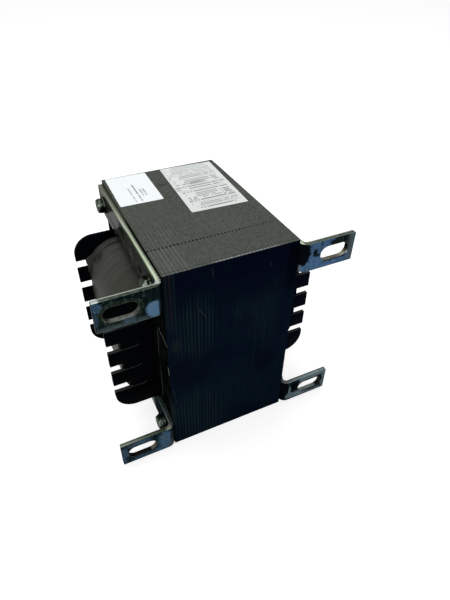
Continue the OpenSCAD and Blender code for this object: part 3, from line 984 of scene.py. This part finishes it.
strips = {"right_top_strip": strip_bar()}
strips["left_top_strip"] = mirrored(strips["right_top_strip"], "left_top_strip", (-1, 1, 1))
for side in ("right", "left"):
    strips[f"{side}_bottom_strip"] = mirrored(strips[f"{side}_top_strip"], f"{side}_bottom_strip",
                                              (1, 1, -1), ABOUT_MID)
strip_finish = plated_strip()
for node, strip in strips.items():
    strip.name = node + "_plated"
    smooth(strip)
    fit(strip, strip_finish, "strip_zinc", node)


# --- clamp bolts, washers and nuts ---

CORNERS = {"near_top": (1, 1), "far_top": (-1, 1), "near_bottom": (1, -1), "far_bottom": (-1, -1)}
ACROSS_FLATS = 10
HEX_R = ACROSS_FLATS / math.sqrt(3)
CHAMFER = 2.4
HEAD_FACE_R, NUT_FACE_R = 4.3, 4.75
DISH_R, DISH_DEPTH = 14, 0.5
SHANK_R, WASHER_R, BORE_R = 2.98, 6, 3.1
# Thread: from a crest to the next root, plain length at the end, and what is left of the radius
THREAD_STEP, THREAD_PLAIN, THREAD_ROOT, THREAD_TIP = 0.5, 0.6, 0.82, 0.8
# Turns about X, in degrees, that the fixings were left at
HEX_TURNS = (0, 12, 24, 38, 50)
WASHER_TURNS = (0, 60, 130)


def on_bolt_axis(name, radius, x_from, x_to, sides=32):
    return rod(name, radius, x_from, x_to, bolt_y, bolt_z, sides)


def narrow_picked(share):
    """Draws the picked points in towards the bolt's axis"""
    bpy.ops.transform.resize(value=(1, share, share),
                             center_override=(0, bolt_y * MM, bolt_z * MM))


def hexagon(name, x_from, x_to, outer_side, radius):
    """A six-sided block along X, whose outer face has its corners turned down to a radius"""
    piece = on_bolt_axis(name, HEX_R, x_from, x_to, sides=6)
    turned = on_bolt_axis("turned", radius + CHAMFER, x_from - PAST / 2, x_to + PAST / 2, ROUND)
    edit(turned)
    pick_faces(turned, lambda middle, normal: normal.x * outer_side > ALIGNED)
    narrow_picked(radius / (radius + CHAMFER))
    combine(piece, "INTERSECT", turned)
    return piece


def bolt_piece():
    """A bolt with a dished head on the left, a smooth shank and a threaded end"""
    head_out, head_in = bolt_low.x, washer_low.x
    thread_from, thread_to = nut_high.x - 1, bolt_high.x
    head = hexagon("bolt_head", head_out, head_in, -1, HEAD_FACE_R)
    dish = started("dish", bpy.ops.mesh.primitive_uv_sphere_add,
                   Vector((head_out - DISH_R + DISH_DEPTH, bolt_y, bolt_z)) * MM,
                   segments=ROUND, ring_count=64, radius=DISH_R * MM)
    cut(head, dish)
    ease_edges(head, 0.15)
    shank = on_bolt_axis("shank", SHANK_R, head_in - 1, thread_from)
    thread = on_bolt_axis("thread_end", SHANK_R, thread_from, thread_to)
    edit(thread)
    level = thread_from + THREAD_STEP
    while level < thread_to - THREAD_PLAIN:
        slice_at(X, level)
        level += THREAD_STEP
    pick_points(thread, lambda p: (round((p.x - thread_from) / THREAD_STEP) % 2 == 1
                                   and p.x < thread_to - NEAR))
    narrow_picked(THREAD_ROOT)
    pick_points(thread, lambda p: p.x > thread_to - NEAR)
    narrow_picked(THREAD_TIP)
    piece = join("bolt", [head, shank, thread])
    smooth(piece, 40)
    return piece


def washer_piece():
    low_x, high_x = washer_low.x, washer_high.x
    piece = on_bolt_axis("washer", WASHER_R, low_x, high_x, ROUND)
    cut(piece, on_bolt_axis("hole", BORE_R, low_x - PAST, high_x + PAST, ROUND))
    ease_edges(piece, 0.2)
    smooth(piece)
    return piece


def nut_piece():
    low_x, high_x = nut_low.x, nut_high.x
    piece = hexagon("nut", low_x, high_x, 1, NUT_FACE_R)
    cut(piece, on_bolt_axis("hole", BORE_R, low_x - PAST, high_x + PAST, ROUND))
    ease_edges(piece, 0.15)
    smooth(piece, 40)
    return piece


def placed_at_corners(start, kind, turns):
    """One copy at each clamp bolt's axis, each turned its own way about X"""
    axis = Vector((0, bolt_y, bolt_z)) * MM
    for corner, (y_side, z_side) in CORNERS.items():
        piece = copy_of(start, f"{corner}_{kind}_turned")
        goal = Vector((0, bolt_y * y_side, mid_z + (bolt_z - mid_z) * z_side)) * MM
        turn = Matrix.Rotation(math.radians(random.choice(turns)), 4, "X")
        piece.matrix_world = Matrix.Translation(goal) @ turn @ Matrix.Translation(-axis)
        settle(piece)
        fit(piece, fixing_finish, "fixing_zinc", f"{corner}_{kind}")
    discard(start)


fixing_finish = plated_fixing()
placed_at_corners(bolt_piece(), "bolt", HEX_TURNS)
head_washer = washer_piece()
nut_washer = mirrored(head_washer, "nut_washer", (-1, 1, 1))
placed_at_corners(head_washer, "head_washer", WASHER_TURNS)
placed_at_corners(nut_washer, "nut_washer", WASHER_TURNS)
placed_at_corners(nut_piece(), "nut", HEX_TURNS)


# --- bobbin flanges with comb edges ---

FLANGE_R = 14
LEG_GAP = 0.5
# The outer slots of a comb are deeper, and slanted at their inner end
SLOT_DEPTH, OUTER_SLOT_DEPTH, SLOT_SLANT = 9.2, 11.2, 1.9
GROOVE_DEPTH, GROOVE_PAST_SLOT = 0.8, 12


def comb_tools():
    """The lead slots and the shallow grooves behind them, on the right side of the near flange"""
    tools = []
    edge_x, low_y, high_y = flange_high.x, flange_low.y, flange_high.y
    for number, z in enumerate(LEAD_LEVELS):
        low_z, high_z = z - LEAD_SLOT / 2, z + LEAD_SLOT / 2
        away = {0: -1, 3: 1}.get(number, 0)
        slot_x = edge_x - (OUTER_SLOT_DEPTH if away else SLOT_DEPTH)
        slot = block("slot", (slot_x, low_y - PAST, low_z), (edge_x + PAST, high_y + PAST, high_z))
        if away:
            edit(slot)
            pick_points(slot, lambda p: p.x < edge_x - 1 and (p.z - z) * away > 0)
            move_picked((-SLOT_SLANT, 0, 0))
        groove_x = slot_x - GROOVE_PAST_SLOT
        groove = block("groove", (groove_x, low_y - PAST, low_z),
                       (edge_x + PAST, low_y + GROOVE_DEPTH, high_z),
                       Y, LEAD_SLOT / 2 - 0.01, 8, lambda middle: middle.x < groove_x + 1)
        tools += [slot, groove]
    return tools


def comb_flange():
    """The near flange with its hole for the centre leg and a comb on each side"""
    piece = block("near_comb_flange", flange_low, flange_high, Y, FLANGE_R, 14)
    hole = block("hole", (left_x - LEG_GAP, flange_low.y - PAST, centre_leg[0].z - LEG_GAP),
                 (right_x + LEG_GAP, flange_high.y + PAST, centre_leg[1].z + LEG_GAP))
    right_comb = comb_tools()
    left_comb = [mirrored(tool, "comb_tool", (-1, 1, 1)) for tool in right_comb]
    cut(piece, hole, *right_comb, *left_comb)
    ease_edges(piece, 0.25)
    return piece


black_finish = moulded_black()
near_comb = comb_flange()
far_comb = mirrored(near_comb, "far_comb_flange", (1, -1, 1))
for comb, node in ((near_comb, "near_flange"), (far_comb, "far_flange")):
    smooth(comb)
    fit(comb, black_finish, "bobbin_plastic", node)


# --- coil: wrap and outer winding, both slightly crowned ---

WRAP_CORNER_R, WRAP_WALL = 22, 1
WINDING_CORNER_R, WINDING_WALL = 21, 6
# How far the sides draw in towards their corners, from which X on and over which half height
BOW, BOW_FROM_X, BOW_HEIGHT = 0.9, 30, 32
# The wrap's loose margin: depth, how much short of the wrap's end it stops, wall and lower end
MARGIN_DEPTH, MARGIN_SHORT, MARGIN_WALL, MARGIN_LOW_Z = 5.6, 0.3, 0.3, 96
MARGIN_CORE_X = 44.8  # half the width of the part inside its rounded corners

def open_ring(name, low, high, radius, levels):
    """A round-cornered tube along Y, open for editing and at both ends, sliced at these levels"""
    piece = block(name, low, high, Y, radius, 16)
    edit(piece)
    pick_faces(piece, lambda middle, normal: abs(normal.y) > ALIGNED)
    bpy.ops.mesh.delete(type="FACE")
    for axis, places in levels:
        for place in places:
            slice_at(axis, place)
    return piece


def walled(piece, wall, offset):
    """Closes the shape and gives it a wall of this thickness"""
    normals_out()
    modify(piece, "SOLIDIFY", thickness=wall * MM, offset=offset, use_even_offset=True)
    smooth(piece)
    return piece


def shares(low, high, parts):
    """The places that divide a length into equal parts"""
    return [low + (high - low) * number / parts for number in range(1, parts)]


def crowned_ring(name, node, radius, wall):
    """A closed ring round the core whose sides bow outwards a little"""
    low, high = span(node)
    piece = open_ring(name, low, high, radius, (
        (Z, [mid_z + number * 10.5 for number in range(-3, 4)]), (Y, shares(low.y, high.y, 12))))

    def bowed(place):
        away = min(abs(place.z - mid_z) / BOW_HEIGHT, 1)
        edge_share = max(0, (abs(place.x) - BOW_FROM_X) / (high.x - BOW_FROM_X))
        return X * -math.copysign(BOW * away ** 2 * edge_share, place.x)

    reshape(piece, bowed)
    return walled(piece, wall, -1)


def flared_margin():
    """The loose outer edge of the wrap at its far end, which flares and buckles a little"""
    low, high = wrap_low, wrap_high
    start_y, end_y = high.y - MARGIN_DEPTH, high.y - MARGIN_SHORT
    piece = open_ring(
        "wrap_margin_far", (low.x, start_y, low.z), (high.x, end_y, high.z), WRAP_CORNER_R,
        ((Z, shares(low.z, high.z, 14)), (X, shares(low.x, high.x, 20)),
         (Y, [start_y + number * 0.9 for number in range(1, 6)])))

    def flared(place):
        x, y, z = place
        core = Vector((max(-MARGIN_CORE_X, min(MARGIN_CORE_X, x)), 0,
                       max(low.z + WRAP_CORNER_R, min(high.z - WRAP_CORNER_R, z))))
        away = Vector((x, 0, z)) - core
        if away.length < 0.01:
            return Vector()
        share = max(0, (y - start_y) / (MARGIN_DEPTH - MARGIN_SHORT)) ** 1.5
        turn = math.atan2(z - mid_z, x)
        wave = 0.5 + 0.3 * math.sin(9 * turn + 0.8) + 0.2 * math.sin(23 * turn)
        buckle = math.exp(-((z - 105) / 2.8) ** 2) if x < -58 else 0
        tucked = 0.38 * min(1, max(0, (118 - z) / 2))
        return away.normalized() * (0.04 - tucked + share * (0.2 + 0.5 * wave + 2.9 * buckle))

    reshape(piece, flared)
    slice_at(Z, MARGIN_LOW_Z, clear_below=True)
    return walled(piece, MARGIN_WALL, 1)


film_finish = wrap_film()
copper_finish = copper_turns()
fit(crowned_ring("coil_wrap_crowned", "coil_wrap", WRAP_CORNER_R, WRAP_WALL), film_finish,
    "wrap_film", "coil_wrap")
far_margin = flared_margin()
near_margin = mirrored(far_margin, "wrap_margin_near", (1, -1, 1))
smooth(near_margin)
fit(far_margin, film_finish, "wrap_film")
fit(near_margin, film_finish, "wrap_film")
fit(crowned_ring("outer_winding_crowned", "outer_winding", WINDING_CORNER_R, WINDING_WALL),
    copper_finish, "copper_wire", "outer_winding")


# --- terminals: push-on tabs in holders ---

TAB_HALF = 0.4  # half a tab's thickness
TAB_TIP_CUT, TAB_FROM_FLANGE = 1.3, 3
EYE_R, EYE_FROM_TIP = 0.9, 4.2
HOLDER_R, HOLDER_PAST_SLOT = 1.2, 1.5
NECK_PLAY, NECK_INSIDE = 0.1, 0.5  # its play in the lead slot, and how far it goes into the holder


def terminal_pieces():
    """A moulded holder with one tab in each lead slot of the far right-hand comb"""
    holder_low, holder_high = span("terminal_holders")
    tab_low, tab_high = span("terminal_tabs")
    flange_back = -flange_low.y
    tab_from_y = flange_back + TAB_FROM_FLANGE
    holders, tabs = [], []
    for z in LEAD_LEVELS:
        low_z, high_z = z - LEAD_SLOT / 2, z + LEAD_SLOT / 2
        holder = block("holder", (holder_low.x, flange_back, low_z - HOLDER_PAST_SLOT),
                       (holder_high.x, holder_high.y, high_z + HOLDER_PAST_SLOT),
                       X, HOLDER_R, 3, lambda middle: middle.y > flange_back + 1)
        neck = block("neck", (holder_low.x, holder_low.y, low_z + NECK_PLAY),
                     (holder_high.x, flange_back + NECK_INSIDE, high_z - NECK_PLAY))
        combine(holder, "UNION", neck)
        cut(holder, block("pocket", (tab_low.x, tab_from_y, z - TAB_HALF),
                          (tab_high.x, holder_high.y + PAST, z + TAB_HALF)))
        ease_edges(holder, 0.25)
        holders.append(holder)
        tab = block("tab", (tab_low.x, tab_from_y, z - TAB_HALF), (tab_high.x, tab_high.y, z + TAB_HALF),
                    Z, TAB_TIP_CUT, 1, lambda middle: middle.y > tab_high.y - NEAR)
        eye = started("eye", bpy.ops.mesh.primitive_cylinder_add,
                      Vector(((tab_low.x + tab_high.x) / 2, tab_high.y - EYE_FROM_TIP, z)) * MM,
                      vertices=24, radius=EYE_R * MM, depth=4 * MM)
        cut(tab, eye)
        ease_edges(tab, 0.12, segments=1)
        tabs.append(tab)
    for name, pieces, finish, slot, node in (
            ("terminal_holders_moulded", holders, black_finish, "bobbin_plastic", "terminal_holders"),
            ("terminal_tabs_tinned", tabs, tinned_tab(), "tab_brass", "terminal_tabs")):
        piece = join(name, pieces)
        smooth(piece)
        fit(piece, finish, slot, node)


terminal_pieces()


# --- labels on the top face ---

LABEL_THICK, LABEL_R = 0.2, 1
# Print: left, right, top and bottom of a block of rows, row pitch, bar length, share of bars, strength
SMALL_PRINT = [(10.6, 12.6, 20, 41, 2, 1.1, 0.75, 0.6), (14.6, 16.6, 16, 41, 2, 1.1, 1, 0.95),
               (17.6, 22, 24, 34, 2.2, 1.1, 0.9, 0.8)]
LARGE_PRINT = [(3, 38, 1.6, 5.6, 2, 0.9, 0.8, 0.5), (3, 38, 7, 15, 2, 0.8, 0.85, 0.5),
               (3, 38, 16.6, 21.4, 2.4, 1, 0.85, 0.7), (4, 37, 23.6, 31.1, 2.5, 1.1, 0.8, 0.75),
               (14, 25, 27.6, 32, 2.2, 1.4, 0.8, 0.7), (2, 39, 33.1, 35.3, 2.2, 1, 1, 1),
               (2, 36, 36, 38.6, 2.6, 1, 0.9, 0.85), (4, 38, 41, 43.3, 2.3, 1.1, 0.95, 0.9),
               (5, 11, 44.8, 53.2, 2.3, 1.1, 0.9, 1), (30, 37, 44.8, 53.2, 2.3, 1.1, 0.9, 1),
               (12, 29, 44.2, 53, 2.2, 1, 0.7, 0.75), (4, 38, 53.6, 56.2, 2.6, 1.1, 0.95, 0.95),
               (4, 38, 58.4, 62.8, 2.2, 0.9, 0.8, 0.75), (7, 33, 64.2, 66.5, 2.3, 1.1, 1, 1)]
# Ruled lines: left, right and distance from the label's top
LARGE_RULES = [(3, 37, 6.3), (3, 37, 15.8), (3, 37, 22.5), (2, 39, 32.4), (3, 38, 40),
               (4, 38, 57.3), (5, 38, 63.5)]
# Each label: turn, width and depth, slot, and how it is printed
LABELS = {
    "small_label": (-1.1, 29.4, 43.4, "small_label_paper",
                    dict(paper=(830, 870, 890), ink=(150, 160, 180), rows_across=False,
                         blocks=SMALL_PRINT, rules=[], roughness=0.5)),
    "large_label": (-2.2, 39.6, 68.5, "large_label_foil",
                    dict(paper=(665, 700, 690), ink=(75, 87, 85), rows_across=True,
                         blocks=LARGE_PRINT, rules=LARGE_RULES, roughness=0.38)),
}
for node, (turn, width, depth, slot, print_settings) in LABELS.items():
    low, high = span(node)
    middle = (low + high) / 2
    half = Vector((width, depth, LABEL_THICK)) / 2
    piece = block(node + "_printed", middle - half, middle + half, Z, LABEL_R, 5)
    ease_edges(piece, 0.06, segments=1, angle=60)
    pivot = Matrix.Translation(middle * MM)
    piece.matrix_world = pivot @ Matrix.Rotation(math.radians(turn), 4, "Z") @ pivot.inverted()
    settle(piece)
    fit(piece, printed_label(node, **print_settings), slot, node)


# --- CAD nodes that stay as they are, inside the coil ---

for node, finish in (("bobbin_tube", black_finish), ("inner_winding", copper_finish),
                     ("winding_barrier", insulation_paper())):
    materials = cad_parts[node].data.materials
    materials.clear()
    materials.append(finish)


# --- floor, lamps and camera ---

def floor_finish():
    """A floor that looks white, but still takes a faint shadow"""
    f = Finish("pale_floor")
    pale = f.node("ShaderNodeBsdfDiffuse", {}, {"Color": (0.45, 0.45, 0.45)})
    glow = f.node("ShaderNodeEmission", {}, {"Color": (1, 1, 1), "Strength": f.seen() * 0.75})
    both = f.node("ShaderNodeAddShader", {}, {0: pale.outputs[0], 1: glow.outputs[0]})
    f.node("ShaderNodeOutputMaterial", {}, {"Surface": both.outputs[0]})
    return f.material


floor = started("floor", bpy.ops.mesh.primitive_plane_add, (0, 0, 0), size=6)
floor.data.materials.append(floor_finish())
floor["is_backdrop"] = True

# The surroundings are white to look at, and dimmer as a source of light
world = bpy.data.worlds.new("studio")
bpy.context.scene.world = world
sky = Nodes(world)
background = sky.node("ShaderNodeBackground", {}, {"Color": (1, 1, 1),
                                                   "Strength": 0.45 + 0.55 * sky.seen()})
sky.node("ShaderNodeOutputWorld", {}, {"Surface": background.outputs[0]})


def lamp(name, place, size, power):
    """A round lamp at a place in metres, which shines on the middle of the transformer"""
    nothing_selected()
    bpy.ops.object.light_add(type="AREA", location=place)
    light = bpy.context.object
    light.name = name
    light.data.shape = "DISK"
    light.data.size = size
    light.data.energy = power
    way = Vector(ABOUT_MID) * MM - Vector(place)
    light.rotation_euler = way.to_track_quat("-Z", "Y").to_euler()


lamp("overhead", (-0.15, 0.35, 1.3), 0.9, 9.4)
lamp("left_fill", (-1.1, -0.5, 0.7), 0.8, 3.2)
lamp("right_fill", (1.1, -0.4, 0.6), 0.8, 2)

camera_data = bpy.data.cameras.new("camera")
camera = bpy.data.objects.new("camera", camera_data)
bpy.context.scene.collection.objects.link(camera)
bpy.context.scene.camera = camera
camera_data.sensor_width = 36
camera_data.lens = 28.21
camera_data.shift_x = 0.01367
camera_data.shift_y = -0.02453
camera_data.clip_start = 0.01
azimuth, elevation, roll = (math.radians(angle) for angle in (25.369, -38.339, 0.387))
look = Vector((math.sin(azimuth) * math.cos(elevation), math.cos(azimuth) * math.cos(elevation),
               math.sin(elevation)))
camera.location = Vector((-100.34, -250.93, 298.88)) * MM
camera.rotation_euler = (look.to_track_quat("-Z", "Y").to_matrix()
                         @ Matrix.Rotation(roll, 3, "Z")).to_euler()

bpy.context.scene.view_settings.view_transform = "Standard"

low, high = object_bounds()
